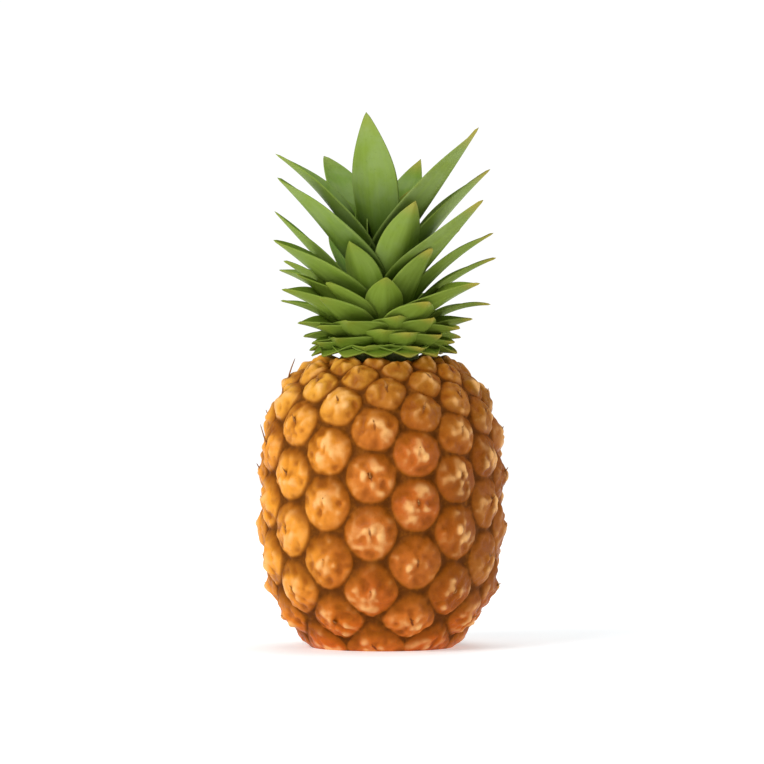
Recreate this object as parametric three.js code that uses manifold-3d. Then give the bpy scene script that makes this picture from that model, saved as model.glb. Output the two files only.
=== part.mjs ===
// A whole pineapple standing on its base: the fruit with its eyes in relief, the crown of leaves, and the
// cut end of the stalk that it grew on. Lengths are millimetres, +Z is up, and the origin is the centre of
// the base. An azimuth is 0 at the front (-Y) and grows towards the right (+X).
import * as THREE from "three";
import { mergeVertices } from "three/addons/utils/BufferGeometryUtils.js";
import Module from "manifold-3d";

// Driving dimensions of the fruit's outline: two superellipse quarters that meet at the widest ring.
const FRUIT = {
  radius: 61.4,
  widestHeight: 74.5,
  lower: { reach: 92.9, bulge: 3.2, round: 1.25 },
  upper: { reach: 76, bulge: 3, round: 2.6 },
  lowest: -15,
};
// The underside: a ring that it rests on, a shallow hollow inside it, and the socket of the stalk.
const BASE = { restRadius: 24, hollowRadius: 18, hollowRise: 1.4, blockRadius: 60 };
const STALK = { radius: 12.5, height: 8, bevel: 0.6 };
const GAP = 0.3;
// The shallow bowl on top that the crown stands in.
const BOWL = { floorRadius: 19.6, floor: 142.4, rimRadius: 31, rim: 145.6 };
const ROUND_SIDES = 32;
// Slivers thinner than this that a join leaves behind are merged into their neighbours.
const SMOOTHING = 0.2;

// The eyes stand in staggered rows of eight. Row k has its middle at first + step k - shrink k^2 along the
// outline.
const EYES = {
  perRow: 8,
  lowestRow: -1,
  highestRow: 13,
  first: 3.5,
  step: 17.7,
  shrink: 0.396,
  evenAzimuth: -5.5,
  twistFrom: 6,
  twist: 0.5,
  tiltFrom: 5,
  tiltFull: 9,
  tilt: 5,
  wander: 1.2,
};
// The dome of an eye sinks from its nub to the groove round it, and deepest where three eyes meet.
const RELIEF = { nub: 0.9, depth: 2.9, cornerDepth: 3.7, dome: 2.6, rings: [0.36, 0.72], fadeIn: 10 };
const BRACT = { width: 2.4, sunk: 1.6, shortest: 2.9, spread: 1.4, lift: 0.3, lowestRow: 1, highestRow: 10 };
// Two bracts on the left kept their long dry tips. Each is a row and a half step round the fruit.
const LONG_BRACTS = [
  [7, 13],
  [10, 12],
];
const LONG_BRACT_LENGTH = 11;

// The crown's stem, as radius and height, from the dimple's floor to its top.
const STEM = [
  [0, 142.7],
  [18.6, 142.7],
  [18.2, 149],
  [15.5, 165],
  [11.8, 180],
  [6.5, 194],
  [3, 202],
  [0, 204],
];
const STEM_SIDES = 20;
const LEAF = { edge: 0.7, middle: 2.2, rootDepth: 4, stations: 6, lowStations: 3, lowHeight: 186 };
// A pointed leaf is widest at this share of its length from the tip, and a blunt one nearer to the tip.
const LEAF_SHAPE = {
  pointed: 0.68,
  blunt: 0.5,
  pointedCurve: 1.05,
  bluntCurve: 0.85,
  narrowing: 0.2,
  rolledBy: 0.6,
};
// The height where a leaf leaves the stem grows with the height of its tip.
const ROOTS = { lowest: 147.6, highest: 197, tipLowest: 145, tipHighest: 268, bend: 1.4 };
// The leaves keep this far from the top of the fruit.
const CLEARANCE = 1.8;
const SHOULDER_STEPS = 9;

// The leaves that shape the crown's front and sides, from the lowest to the highest. Each has its azimuth in
// degrees, its tip's reach from the axis and height, its width, how far it arches, how blunt it is, how far
// its edges turn towards the stem, and how many degrees the edge nearer to the front is rolled up.
const SHOWN_LEAVES = [
  { azimuth: -80, reach: 36, height: 145.5, width: 22, arch: 0.08 },
  { azimuth: -55, reach: 36.5, height: 146.2, width: 26, arch: -0.1, blunt: 0.8, channel: 0.45 },
  { azimuth: -30, reach: 36.2, height: 145.6, width: 27, arch: -0.1, blunt: 0.9, channel: 0.45 },
  { azimuth: -4, reach: 35.8, height: 145.4, width: 27, arch: -0.1, blunt: 0.9, channel: 0.45 },
  { azimuth: 22, reach: 36, height: 145.6, width: 27, arch: -0.1, blunt: 0.9, channel: 0.45 },
  { azimuth: 48, reach: 36.7, height: 146.2, width: 26, arch: -0.1, blunt: 0.8, channel: 0.45 },
  { azimuth: 75, reach: 39, height: 147.5, width: 22, arch: 0.06, blunt: 0.3, channel: 0.45 },
  { azimuth: 95, reach: 38, height: 147, width: 24, arch: 0.08 },
  { azimuth: -98, reach: 37, height: 148.5, width: 20, arch: 0.08 },
  { azimuth: -68, reach: 38, height: 152.5, width: 20, arch: 0, blunt: 0.4, channel: 0.5 },
  { azimuth: -14, reach: 34.5, height: 151.2, width: 26, arch: -0.35, blunt: 0.9, channel: 0.5 },
  { azimuth: 34, reach: 35.2, height: 150.5, width: 26, arch: -0.35, blunt: 0.9, channel: 0.5 },
  { azimuth: -62, reach: 37, height: 153, width: 23, arch: -0.2, blunt: 0.6, channel: 0.5 },
  { azimuth: -40, reach: 36.5, height: 155.5, width: 28, arch: -0.3, blunt: 0.8, channel: 0.5 },
  { azimuth: 23, reach: 35, height: 158.2, width: 29, arch: -0.3, blunt: 0.9, channel: 0.5 },
  { azimuth: 52, reach: 38, height: 157, width: 25, arch: -0.2, blunt: 0.7, channel: 0.5 },
  { azimuth: 66, reach: 40, height: 153, width: 19, arch: 0, blunt: 0.4, channel: 0.5 },
  { azimuth: 96, reach: 40, height: 155, width: 19, arch: 0.1 },
  { azimuth: -98, reach: 40, height: 155.5, width: 19, arch: 0.1 },
  { azimuth: -74, reach: 44, height: 162.5, width: 23, arch: 0.12, roll: 10 },
  { azimuth: -52, reach: 41, height: 161, width: 23, arch: 0.04, blunt: 0.5, channel: 0.45 },
  { azimuth: -27, reach: 38, height: 164, width: 31, arch: -0.15, blunt: 0.7, channel: 0.45 },
  { azimuth: 2, reach: 33.8, height: 159.5, width: 26, arch: -0.2, blunt: 0.9, channel: 0.45 },
  { azimuth: 42, reach: 38.5, height: 165.5, width: 25, arch: -0.15, blunt: 0.7, channel: 0.45 },
  { azimuth: 60, reach: 45, height: 160, width: 20, arch: 0.1, blunt: 0.3, channel: 0.5 },
  { azimuth: 78, reach: 46.5, height: 164.5, width: 20, arch: 0.08, roll: 10 },
  { azimuth: 96, reach: 55, height: 171.5, width: 10, arch: 0.24 },
  { azimuth: -88, reach: 51, height: 173.5, width: 12, arch: 0.16 },
  { azimuth: 14, reach: 33, height: 166.5, width: 24, arch: -0.15, blunt: 0.9, channel: 0.45 },
  { azimuth: 35, reach: 40, height: 173.5, width: 27, arch: -0.04, blunt: 0.7, channel: 0.4 },
  { azimuth: -46, reach: 43, height: 175.5, width: 26, arch: -0.02, blunt: 0.6, channel: 0.45 },
  { azimuth: -60, reach: 57.7, height: 179.5, width: 29, arch: 0.08, roll: 14 },
  { azimuth: 61, reach: 55.8, height: 182.5, width: 28, arch: 0.1, roll: 14 },
  { azimuth: 3, reach: 31, height: 185.5, width: 19, arch: 0, blunt: 1, channel: 0.35 },
  { azimuth: -44, reach: 40, height: 183, width: 24, arch: 0.02, blunt: 0.5, channel: 0.45, roll: 4 },
  { azimuth: -70, reach: 45.5, height: 187, width: 22, arch: 0.06, roll: 8 },
  { azimuth: -88, reach: 49.5, height: 193.5, width: 20, arch: 0.1 },
  { azimuth: 92, reach: 57.5, height: 195, width: 12, arch: 0.15 },
  { azimuth: -65, reach: 59.7, height: 204, width: 31, arch: 0.06, roll: 14 },
  { azimuth: 74, reach: 58, height: 207.5, width: 15, arch: 0.12, roll: 6 },
  { azimuth: 44, reach: 36, height: 200, width: 22, arch: 0.04, blunt: 0.6, channel: 0.45, roll: 4 },
  { azimuth: -33, reach: 30, height: 203.5, width: 21, arch: 0.04, blunt: 0.7, channel: 0.45 },
  { azimuth: -88, reach: 54, height: 218.5, width: 16, arch: 0 },
  { azimuth: 60, reach: 58.2, height: 224, width: 31, arch: 0, roll: 14 },
  { azimuth: 30, reach: 33.5, height: 223.5, width: 24, arch: 0.04, blunt: 0.6, channel: 0.45 },
  { azimuth: -64, reach: 58, height: 235, width: 32, arch: 0.06, roll: 14 },
  { azimuth: 86, reach: 54.5, height: 239.5, width: 25, arch: 0.07, roll: 6 },
  { azimuth: -78, reach: 54.5, height: 247, width: 25, arch: 0.15, roll: 16 },
  { azimuth: -142, reach: 48, height: 246.5, width: 28, arch: 0.1, blunt: 0.8, channel: 0.3 },
  { azimuth: 152, reach: 42, height: 245, width: 22, arch: 0.1, blunt: 0.6, channel: 0.3 },
  { azimuth: 63, reach: 54.1, height: 260, width: 32, arch: -0.01, roll: 12 },
  { azimuth: -33, reach: 14.5, height: 267.8, width: 26.5, arch: -0.05, blunt: 0.9, channel: 0.25 },
];
// Those behind follow a spiral at the golden angle, from the lowest to the highest.
const GOLDEN_ANGLE = 137.508;
const BACK_LEAVES = {
  count: 34,
  front: 110,
  firstAzimuth: 160,
  reach: [38, 58],
  spreadBy: 0.4,
  gatherFrom: 0.5,
  gather: 34,
  height: [152, 238],
  climb: 1.1,
  width: [24, 25],
  arch: [0.2, 0.08],
  blunt: 0.5,
  wander: 4,
};
// A ring of low leaves hangs over the fruit's shoulder behind, and short ones stand round the stem's tip.
const SKIRT_AZIMUTHS = [122, 148, 174, 200, 226, 252];
const SKIRT_LEAF = { reach: 36.5, height: 147, width: 27, arch: -0.15, blunt: 0.8, channel: 0.45 };
const HEART_AZIMUTHS = [165, 200, 240];
const HEART_LEAF = { reach: 8, height: 226, width: 17, arch: 0.02, blunt: 0.8, channel: 0.5 };

const wasm = await Module();
wasm.setup();

const radians = THREE.MathUtils.degToRad;
const lerp = THREE.MathUtils.lerp;
const smoothstep = THREE.MathUtils.smoothstep;

// A repeatable number from 0 to 1 for a pair of whole numbers.
function draw(a, b) {
  const x = Math.sin(a * 127.1 + b * 311.7 + 17.3) * 43758.5453;
  return x - Math.floor(x);
}

function outward(azimuth) {
  return new THREE.Vector3(Math.sin(azimuth), -Math.cos(azimuth), 0);
}

function sideways(azimuth) {
  return new THREE.Vector3(Math.cos(azimuth), Math.sin(azimuth), 0);
}

function geometryOf(points, triangles) {
  const geometry = new THREE.BufferGeometry();
  geometry.setAttribute("position", new THREE.Float32BufferAttribute(points.flat(), 3));
  geometry.setIndex(triangles.flat());
  return geometry;
}

function solidOf(geometry) {
  const mesh = new wasm.Mesh({
    numProp: 3,
    vertProperties: geometry.getAttribute("position").array,
    triVerts: new Uint32Array(geometry.index.array),
  });
  return new wasm.Manifold(mesh);
}

// The largest body of a solid, without the pockets that its pieces shut off between them.
function geometryFrom(solid) {
  const bodies = solid.asOriginal().simplify(SMOOTHING).decompose();
  const [largest] = bodies.sort((a, b) => b.volume() - a.volume());
  const mesh = largest.getMesh();
  const geometry = new THREE.BufferGeometry();
  geometry.setAttribute("position", new THREE.BufferAttribute(mesh.vertProperties, 3));
  geometry.setIndex(new THREE.BufferAttribute(mesh.triVerts, 1));
  return geometry;
}

function meshOf(name, geometry, material) {
  geometry.computeVertexNormals();
  const mesh = new THREE.Mesh(geometry, material);
  mesh.name = name;
  return mesh;
}

// A closed surface round the axis through points of [radius, height], from one point on the axis to another.
function turned(profile, columns) {
  const points = profile.map(([radius, height]) => new THREE.Vector2(radius, height));
  const geometry = new THREE.LatheGeometry(points, columns);
  geometry.rotateX(Math.PI / 2);
  geometry.deleteAttribute("normal");
  geometry.deleteAttribute("uv");
  return mergeVertices(geometry, 1e-4);
}

// The fruit's outline

function fruitRadius(height) {
  const above = height - FRUIT.widestHeight;
  const { reach, bulge, round } = above < 0 ? FRUIT.lower : FRUIT.upper;
  return FRUIT.radius * (1 - Math.min(1, Math.abs(above) / reach) ** bulge) ** (1 / round);
}

const OUTLINE_STEPS = 1500;
const FRUIT_TOP = FRUIT.widestHeight + FRUIT.upper.reach;
const outline = [];
for (let i = 0; i <= OUTLINE_STEPS; i += 1) {
  const height = lerp(FRUIT.lowest, FRUIT_TOP, (1 - Math.cos((Math.PI * i) / OUTLINE_STEPS)) / 2);
  const radius = fruitRadius(height);
  const before = outline[i - 1];
  const along = before ? before.along + Math.hypot(radius - before.radius, height - before.height) : 0;
  outline.push({ along, radius, height });
}
// Distances along the outline count from the floor.
const alongAtFloor = outline.find((point) => point.height >= 0).along;
for (const point of outline) point.along -= alongAtFloor;

// The outline's radius, height and outward direction at a distance along it from the base.
function outlineAt(along) {
  const next = Math.max(1, outline.findIndex((point) => point.along >= along));
  const [a, b] = [outline[next - 1], outline[next]];
  const share = (along - a.along) / (b.along - a.along);
  const length = b.along - a.along;
  return {
    radius: lerp(a.radius, b.radius, share),
    height: lerp(a.height, b.height, share),
    out: (b.height - a.height) / length,
    up: (a.radius - b.radius) / length,
  };
}

// The eyes

// An eye by its row and its place, in half steps round the fruit. Even rows hold even places.
const HALF_STEPS = 2 * EYES.perRow;

function eyeAt(row, halfStep) {
  const place = (halfStep + HALF_STEPS) % HALF_STEPS;
  const twist = EYES.twist * Math.max(0, row - EYES.twistFrom) ** 2;
  const azimuth = radians(EYES.evenAzimuth + twist + (360 * place) / HALF_STEPS);
  const tilt = EYES.tilt * smoothstep(row, EYES.tiltFrom, EYES.tiltFull);
  const middle = EYES.first + EYES.step * row - EYES.shrink * row * row;
  const wander = EYES.wander * (draw(row, place) - 0.5);
  const along = middle - tilt * Math.sin(azimuth) + wander;
  return { azimuth, along, key: row * HALF_STEPS + place };
}

function turnBetween(a, b) {
  return Math.atan2(Math.sin(a - b), Math.cos(a - b));
}

// The point of the skin that is as far from one eye's centre as from two of its neighbours'.
function meetingPoint(trio) {
  const [eye, ...others] = [...trio].sort((a, b) => a.key - b.key);
  const { radius } = outlineAt((trio[0].along + trio[1].along + trio[2].along) / 3);
  const [[ax, ay], [bx, by]] = others.map((other) => [
    turnBetween(other.azimuth, eye.azimuth) * radius,
    other.along - eye.along,
  ]);
  const twiceArea = 2 * (ax * by - ay * bx);
  const [aa, bb] = [ax * ax + ay * ay, bx * bx + by * by];
  const x = (by * aa - ay * bb) / twiceArea;
  const y = (ax * bb - bx * aa) / twiceArea;
  return { azimuth: eye.azimuth + x / radius, along: eye.along + y };
}

function between(a, b, share) {
  const azimuth = a.azimuth + share * turnBetween(b.azimuth, a.azimuth);
  return { azimuth, along: lerp(a.along, b.along, share) };
}

function skinPoint({ azimuth, along }, stand) {
  const { radius, height, out, up } = outlineAt(along);
  const raised = stand * smoothstep(along, 0, RELIEF.fadeIn);
  const reach = radius + out * raised;
  return [reach * Math.sin(azimuth), -reach * Math.cos(azimuth), height + up * raised];
}

// The skin as six-sided domes that share their edges, closed at both ends by a fan to the axis.
function makeSkin() {
  const points = [];
  const triangles = [];
  const shared = new Map();
  const add = (place, stand) => points.push(skinPoint(place, stand)) - 1;
  const addShared = (key, place, stand) => {
    if (!shared.has(key)) shared.set(key, add(place, stand));
    return shared.get(key);
  };
  const keyOf = (some) =>
    some
      .map((eye) => eye.key)
      .sort((a, b) => a - b)
      .join();
  for (let row = EYES.lowestRow; row <= EYES.highestRow; row += 1) {
    for (let place = Math.abs(row) % 2; place < HALF_STEPS; place += 2) {
      const eye = eyeAt(row, place);
      const around = [
        eyeAt(row + 1, place + 1),
        eyeAt(row + 2, place),
        eyeAt(row + 1, place - 1),
        eyeAt(row - 1, place - 1),
        eyeAt(row - 2, place),
        eyeAt(row - 1, place + 1),
      ];
      const corners = around.map((other, i) => [eye, other, around[(i + 5) % 6]]);
      const rim = [];
      around.forEach((other, i) => {
        const corner = meetingPoint(corners[i]);
        const next = meetingPoint(corners[(i + 1) % 6]);
        const middle = between(corner, next, 0.5);
        rim.push({ place: corner, at: addShared(keyOf(corners[i]), corner, -RELIEF.cornerDepth) });
        rim.push({ place: middle, at: addShared(keyOf([eye, other]), middle, -RELIEF.depth) });
      });
      const centre = add(eye, RELIEF.nub);
      const loops = RELIEF.rings.map((share) =>
        rim.map((end) => add(between(eye, end.place, share), -RELIEF.depth * share ** RELIEF.dome)),
      );
      loops.push(rim.map((end) => end.at));
      rim.forEach((_, i) => {
        const next = (i + 1) % rim.length;
        triangles.push([centre, loops[0][i], loops[0][next]]);
        for (let ring = 0; ring + 1 < loops.length; ring += 1) {
          const [inner, outer] = [loops[ring], loops[ring + 1]];
          triangles.push([inner[i], outer[i], outer[next]]);
          triangles.push([inner[i], outer[next], inner[next]]);
        }
      });
    }
  }
  const edges = new Set(triangles.flatMap(([a, b, c]) => [`${a} ${b}`, `${b} ${c}`, `${c} ${a}`]));
  const below = points.push([0, 0, FRUIT.lowest]) - 1;
  const above = points.push([0, 0, FRUIT_TOP]) - 1;
  for (const edge of edges) {
    const [a, b] = edge.split(" ").map(Number);
    if (edges.has(`${b} ${a}`)) continue;
    triangles.push([b, a, points[a][2] < FRUIT.widestHeight ? below : above]);
  }
  return geometryOf(points, triangles);
}

// The papery tip of the bract on one eye: a three-sided spine that leans up along the skin.
function bract(row, place) {
  const eye = eyeAt(row, place);
  const { radius, height, out, up } = outlineAt(eye.along);
  const away = outward(eye.azimuth);
  const side = sideways(eye.azimuth).multiplyScalar(BRACT.width / 2);
  const normal = away.clone().multiplyScalar(out).setZ(up);
  const climb = away.clone().multiplyScalar(-up).setZ(out);
  const root = away.clone().multiplyScalar(radius).setZ(height).addScaledVector(normal, -BRACT.sunk);
  const isLong = LONG_BRACTS.some(([longRow, longPlace]) => longRow === row && longPlace === place);
  const length = isLong ? LONG_BRACT_LENGTH : BRACT.shortest + BRACT.spread * draw(row, place + 40);
  const tip = root.clone().addScaledVector(climb, length);
  tip.addScaledVector(normal, BRACT.sunk + RELIEF.nub + BRACT.lift * length);
  const low = root.clone().addScaledVector(climb, -BRACT.width / 2);
  const high = root.clone().addScaledVector(climb, BRACT.width);
  const corners = [low.clone().add(side), low.clone().sub(side), high, tip];
  const triangles = [
    [0, 1, 2],
    [1, 0, 3],
    [2, 1, 3],
    [0, 2, 3],
  ];
  return geometryOf(
    corners.map((corner) => corner.toArray()),
    triangles,
  );
}

function makeFruit() {
  const pieces = [makeSkin()];
  for (let row = BRACT.lowestRow; row <= BRACT.highestRow; row += 1) {
    for (let place = row % 2; place < HALF_STEPS; place += 2) pieces.push(bract(row, place));
  }
  const under = turned(
    [
      [0, FRUIT.lowest - 1],
      [BASE.blockRadius, FRUIT.lowest - 1],
      [BASE.blockRadius, 0],
      [BASE.restRadius, 0],
      [BASE.hollowRadius, BASE.hollowRise],
      [STALK.radius + GAP, BASE.hollowRise],
      [STALK.radius + GAP, STALK.height + GAP],
      [0, STALK.height + GAP],
    ],
    ROUND_SIDES,
  );
  const bowl = turned(
    [
      [0, BOWL.floor],
      [BOWL.floorRadius, BOWL.floor],
      [BOWL.rimRadius, BOWL.rim],
      [BOWL.rimRadius, FRUIT_TOP + 1],
      [0, FRUIT_TOP + 1],
    ],
    ROUND_SIDES,
  );
  const whole = wasm.Manifold.union(pieces.map(solidOf));
  return geometryFrom(whole.subtract(solidOf(under)).subtract(solidOf(bowl)));
}

function makeStalkEnd() {
  const profile = [
    [0, 0],
    [STALK.radius - STALK.bevel, 0],
    [STALK.radius, STALK.bevel],
    [STALK.radius, STALK.height],
    [0, STALK.height],
  ];
  return turned(profile, ROUND_SIDES);
}

// The crown

function stemRadius(height) {
  const next = STEM.findIndex(([, z], i) => i > 1 && z >= height);
  const [[r0, z0], [r1, z1]] = [STEM[next - 1], STEM[next]];
  return lerp(r0, r1, (height - z0) / (z1 - z0));
}

// The share of a leaf's width at a distance from its tip, from 0 at the tip to 1 at the root.
function widthShare(fromTip, blunt) {
  const widest = lerp(LEAF_SHAPE.pointed, LEAF_SHAPE.blunt, blunt);
  if (fromTip > widest) return 1 - LEAF_SHAPE.narrowing * ((fromTip - widest) / (1 - widest)) ** 2;
  const curve = lerp(LEAF_SHAPE.pointedCurve, LEAF_SHAPE.bluntCurve, blunt);
  return Math.sin((Math.PI / 2) * (fromTip / widest)) ** curve;
}

// One arched blade, thickest along its middle, whose edges turn towards the stem.
function leaf({ azimuth, reach, height, width, arch, blunt = 0, channel = 0.55, roll = 0 }) {
  const stations = height < LEAF.lowHeight ? LEAF.lowStations : LEAF.stations;
  const turn = radians(azimuth);
  const away = outward(turn);
  const side = sideways(turn);
  const rise = Math.max(0, (height - ROOTS.tipLowest) / (ROOTS.tipHighest - ROOTS.tipLowest));
  const rootHeight = lerp(ROOTS.lowest, ROOTS.highest, rise ** ROOTS.bend);
  const root = new THREE.Vector2(stemRadius(rootHeight) - LEAF.rootDepth, rootHeight);
  const tip = new THREE.Vector2(reach, height);
  const chord = tip.clone().sub(root);
  const bend = root.clone().lerp(tip, 0.5).add(new THREE.Vector2(-chord.y, chord.x).multiplyScalar(arch));
  const line = new THREE.QuadraticBezierCurve(root, bend, tip);
  const points = [];
  for (let i = 0; i < stations; i += 1) {
    const share = i / stations;
    const { x, y } = line.getPoint(share);
    const tangent = line.getTangent(share);
    const middle = away.clone().multiplyScalar(x).setZ(y);
    const along = away.clone().multiplyScalar(tangent.x).setZ(tangent.y);
    const rolled = -Math.sign(Math.sin(turn)) * radians(roll) * smoothstep(share, 0, LEAF_SHAPE.rolledBy);
    const across = side.clone().applyAxisAngle(along, -rolled);
    const inner = along.clone().cross(across);
    const half = (width / 2) * widthShare(1 - share, blunt);
    const fold = channel * half;
    const thick = lerp(LEAF.middle, LEAF.edge, share ** 2) / 2;
    const place = (sideShare, inward) => {
      const at = middle.clone().addScaledVector(across, sideShare * half).addScaledVector(inner, inward);
      points.push(at.toArray());
    };
    place(-1, fold - LEAF.edge / 2);
    place(0, -thick);
    place(1, fold - LEAF.edge / 2);
    place(1, fold + LEAF.edge / 2);
    place(0, thick);
    place(-1, fold + LEAF.edge / 2);
  }
  const end = points.push(away.clone().multiplyScalar(reach).setZ(height).toArray()) - 1;
  const sides = 6;
  const at = (i, a) => i * sides + (a % sides);
  const triangles = [
    [0, 4, 1],
    [0, 5, 4],
    [1, 3, 2],
    [1, 4, 3],
  ];
  for (let a = 0; a < sides; a += 1) {
    // Both faces are split alike, so the blade stays as thick where it is rolled.
    const isInner = a >= 3;
    for (let i = 0; i + 1 < stations; i += 1) {
      const [p, q, r, s] = [at(i, a), at(i, a + 1), at(i + 1, a + 1), at(i + 1, a)];
      if (isInner) triangles.push([p, q, s], [q, r, s]);
      else triangles.push([p, q, r], [p, r, s]);
    }
    triangles.push([at(stations - 1, a), at(stations - 1, a + 1), end]);
  }
  return geometryOf(points, triangles);
}

function backLeaves() {
  const { count, front, firstAzimuth, reach, height, width, arch, wander } = BACK_LEAVES;
  const leaves = [];
  for (let i = 0; i < count; i += 1) {
    const share = i / (count - 1);
    const azimuth = ((firstAzimuth + GOLDEN_ANGLE * i) % 360) - 180;
    if (Math.abs(azimuth) < front) continue;
    const spread = lerp(...reach, smoothstep(share, 0, BACK_LEAVES.spreadBy));
    const gathered = BACK_LEAVES.gather * smoothstep(share, BACK_LEAVES.gatherFrom, 1);
    leaves.push({
      azimuth,
      reach: spread - gathered + wander * (draw(i, 1) - 0.5),
      height: lerp(...height, share ** BACK_LEAVES.climb) + wander * draw(i, 2),
      width: lerp(...width, share),
      arch: lerp(...arch, share),
      blunt: BACK_LEAVES.blunt * share,
    });
  }
  return leaves;
}

// A smooth body a little larger than the top of the fruit, which keeps the leaves off it.
function makeShoulder() {
  const profile = [[0, FRUIT.widestHeight]];
  for (let i = 0; i <= SHOULDER_STEPS; i += 1) {
    const height = lerp(FRUIT.widestHeight, BOWL.rim, 1 - (1 - i / SHOULDER_STEPS) ** 2);
    profile.push([fruitRadius(height) + CLEARANCE, height]);
  }
  profile.push([BOWL.floorRadius, BOWL.floor], [0, BOWL.floor]);
  return turned(profile, ROUND_SIDES).translate(0, 0, CLEARANCE);
}

function makeCrown() {
  const skirt = SKIRT_AZIMUTHS.map((azimuth) => ({ azimuth, ...SKIRT_LEAF }));
  const heart = HEART_AZIMUTHS.map((azimuth) => ({ azimuth, ...HEART_LEAF }));
  const blades = [...SHOWN_LEAVES, ...backLeaves(), ...skirt, ...heart].map(leaf);
  const leaves = wasm.Manifold.union(blades.map(solidOf)).subtract(solidOf(makeShoulder()));
  return geometryFrom(leaves.add(solidOf(turned(STEM, STEM_SIDES))));
}

const skinMaterial = new THREE.MeshStandardMaterial({ color: 0xc17a2f, roughness: 0.55, metalness: 0 });
const leafMaterial = new THREE.MeshStandardMaterial({ color: 0x6d9138, roughness: 0.5, metalness: 0 });
const stalkMaterial = new THREE.MeshStandardMaterial({ color: 0xb59a68, roughness: 0.85, metalness: 0 });

const pineapple = new THREE.Group();
pineapple.add(meshOf("fruit", makeFruit(), skinMaterial));
pineapple.add(meshOf("stalk_end", makeStalkEnd(), stalkMaterial));
pineapple.add(meshOf("crown", makeCrown(), leafMaterial));

export default pineapple;
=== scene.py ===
# A whole pineapple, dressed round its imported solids: the skin with its lumpy eyes, the dry tips of their
# bracts, the crown's leaves and stem, the cut end of the stalk, and a plain white studio.
# Lengths are metres, +Z is up, and an azimuth is 0 at the front (-Y) and grows towards the right (+X).
import math

import bpy
import numpy as np
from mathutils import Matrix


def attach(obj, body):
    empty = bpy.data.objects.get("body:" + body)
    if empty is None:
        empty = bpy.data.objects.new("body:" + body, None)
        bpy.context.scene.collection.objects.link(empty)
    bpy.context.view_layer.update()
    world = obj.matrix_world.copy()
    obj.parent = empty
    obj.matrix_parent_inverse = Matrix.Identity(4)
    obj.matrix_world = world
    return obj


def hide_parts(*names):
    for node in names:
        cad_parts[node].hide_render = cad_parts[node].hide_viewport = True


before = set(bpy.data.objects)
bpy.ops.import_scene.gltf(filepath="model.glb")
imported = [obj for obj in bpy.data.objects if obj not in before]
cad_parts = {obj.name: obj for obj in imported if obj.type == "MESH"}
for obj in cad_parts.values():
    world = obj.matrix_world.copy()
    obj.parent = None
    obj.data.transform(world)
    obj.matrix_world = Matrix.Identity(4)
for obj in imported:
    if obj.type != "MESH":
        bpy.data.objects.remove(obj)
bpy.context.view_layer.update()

UP = np.array([0.0, 0.0, 1.0])
MILLIMETRE = 0.001
# Nothing is divided by less than these.
TINY_LENGTH = 1e-6
TINY_AREA = 1e-9

# The fruit's outline, as the solid has it: two superellipse quarters that meet at the widest ring.
FRUIT_RADIUS = 0.0614
WIDEST_HEIGHT = 0.0745
LOWER = {"reach": 0.0929, "bulge": 3.2, "round": 1.25}
UPPER = {"reach": 0.076, "bulge": 3.0, "round": 2.6}
LOWEST = -0.015
FRUIT_TOP = WIDEST_HEIGHT + UPPER["reach"]
OUTLINE_STEPS = 3000
# The underside: the ring that it rests on, the shallow hollow inside it, and the socket of the stalk.
REST_RADIUS = 0.024
HOLLOW_RADIUS = 0.018
HOLLOW_RISE = 0.0014
SOCKET_RADIUS = 0.0128
SOCKET_DEPTH = 0.0083
STALK = {"radius": 0.0125, "height": 0.008, "bevel": 0.0006, "corner": 0.3}
# The shallow bowl on top that the crown stands in.
BOWL = {"floor_radius": 0.0196, "floor": 0.1424, "rim_radius": 0.031}

# The eyes stand in staggered rows of eight, as in the solid: how far up the outline each row is, how far the
# upper rows turn and tilt, and how far each eye wanders.
PER_ROW = 8
HALF_STEPS = 2 * PER_ROW
LOWEST_ROW = -4
HIGHEST_ROW = 16
EYE_FIRST = 0.0035
EYE_STEP = 0.0177
EYE_SHRINK = 0.000396
EVEN_AZIMUTH = -5.5
TWIST_FROM = 6
TWIST = 0.5
TILT_FROM = 5
TILT_FULL = 9
TILT = 0.005
WANDER = 0.0012
# The dome of an eye sinks from its nub to the groove round it, and deepest where three eyes meet.
NUB = 0.0009
DEPTH = 0.0029
CORNER_DEPTH = 0.0037
DOME = 2.6
ROUNDING = 5
FADE_IN = 0.010
SKIN_COLUMNS = 464
SKIN_ROWS = 200
PINHOLE = 1e-5

# The relief on a dome. Lumps and small lumps are noise, and the lumps fade towards the groove.
LUMP_SIZE = 0.0044
LUMP_HEIGHT = 0.0013
LUMPS_IN_GROOVE = 0.3
SMALL_LUMP_SIZE = 0.0024
SMALL_LUMP_HEIGHT = 0.0005
NUB_REACH = 0.0034
GROOVE_FROM = 0.6
GROOVE_FLOOR = 1.05
# Lobes fan out below an eye's centre, from start to end, and are weaker above it.
LOBES = {"count": 7, "height": 0.00022, "sharpness": 1.5, "above": 0.25, "turn": 6}
LOBE_REACH = {"start": 0.003, "full": 0.0065, "fading": 0.0095, "end": 0.0125}
LOBE_SIDE = {"above": -0.45, "below": 0.35}
LOBE_WANDER = {"angle": 0.6, "size": 0.007}
# Small fleshy nubs stand round the slit at an eye's centre, each at a place right and up from it.
NUBS = [(-0.0021, 0.0006), (0.0021, 0.0010), (0.0004, -0.0034), (-0.0044, -0.0024), (0.0045, -0.0022)]
NUB_SPREAD = 0.0015
NUB_HEIGHT = 0.0013
NUB_LEAST = 0.5
NUB_VARIES = 0.6
NUB_WANDER = 0.0022
SLIT = {"length": 0.0026, "width": 0.0009, "depth": 0.0010, "least": 0.2, "lean": 0.9}
# The small eyes near the top have flatter centres.
FLATTER = {"share": 0.4, "from": 0.09, "to": 0.16}
# The skin's material reads places in an eye in this unit.
EYE_UNIT = 0.01

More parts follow.
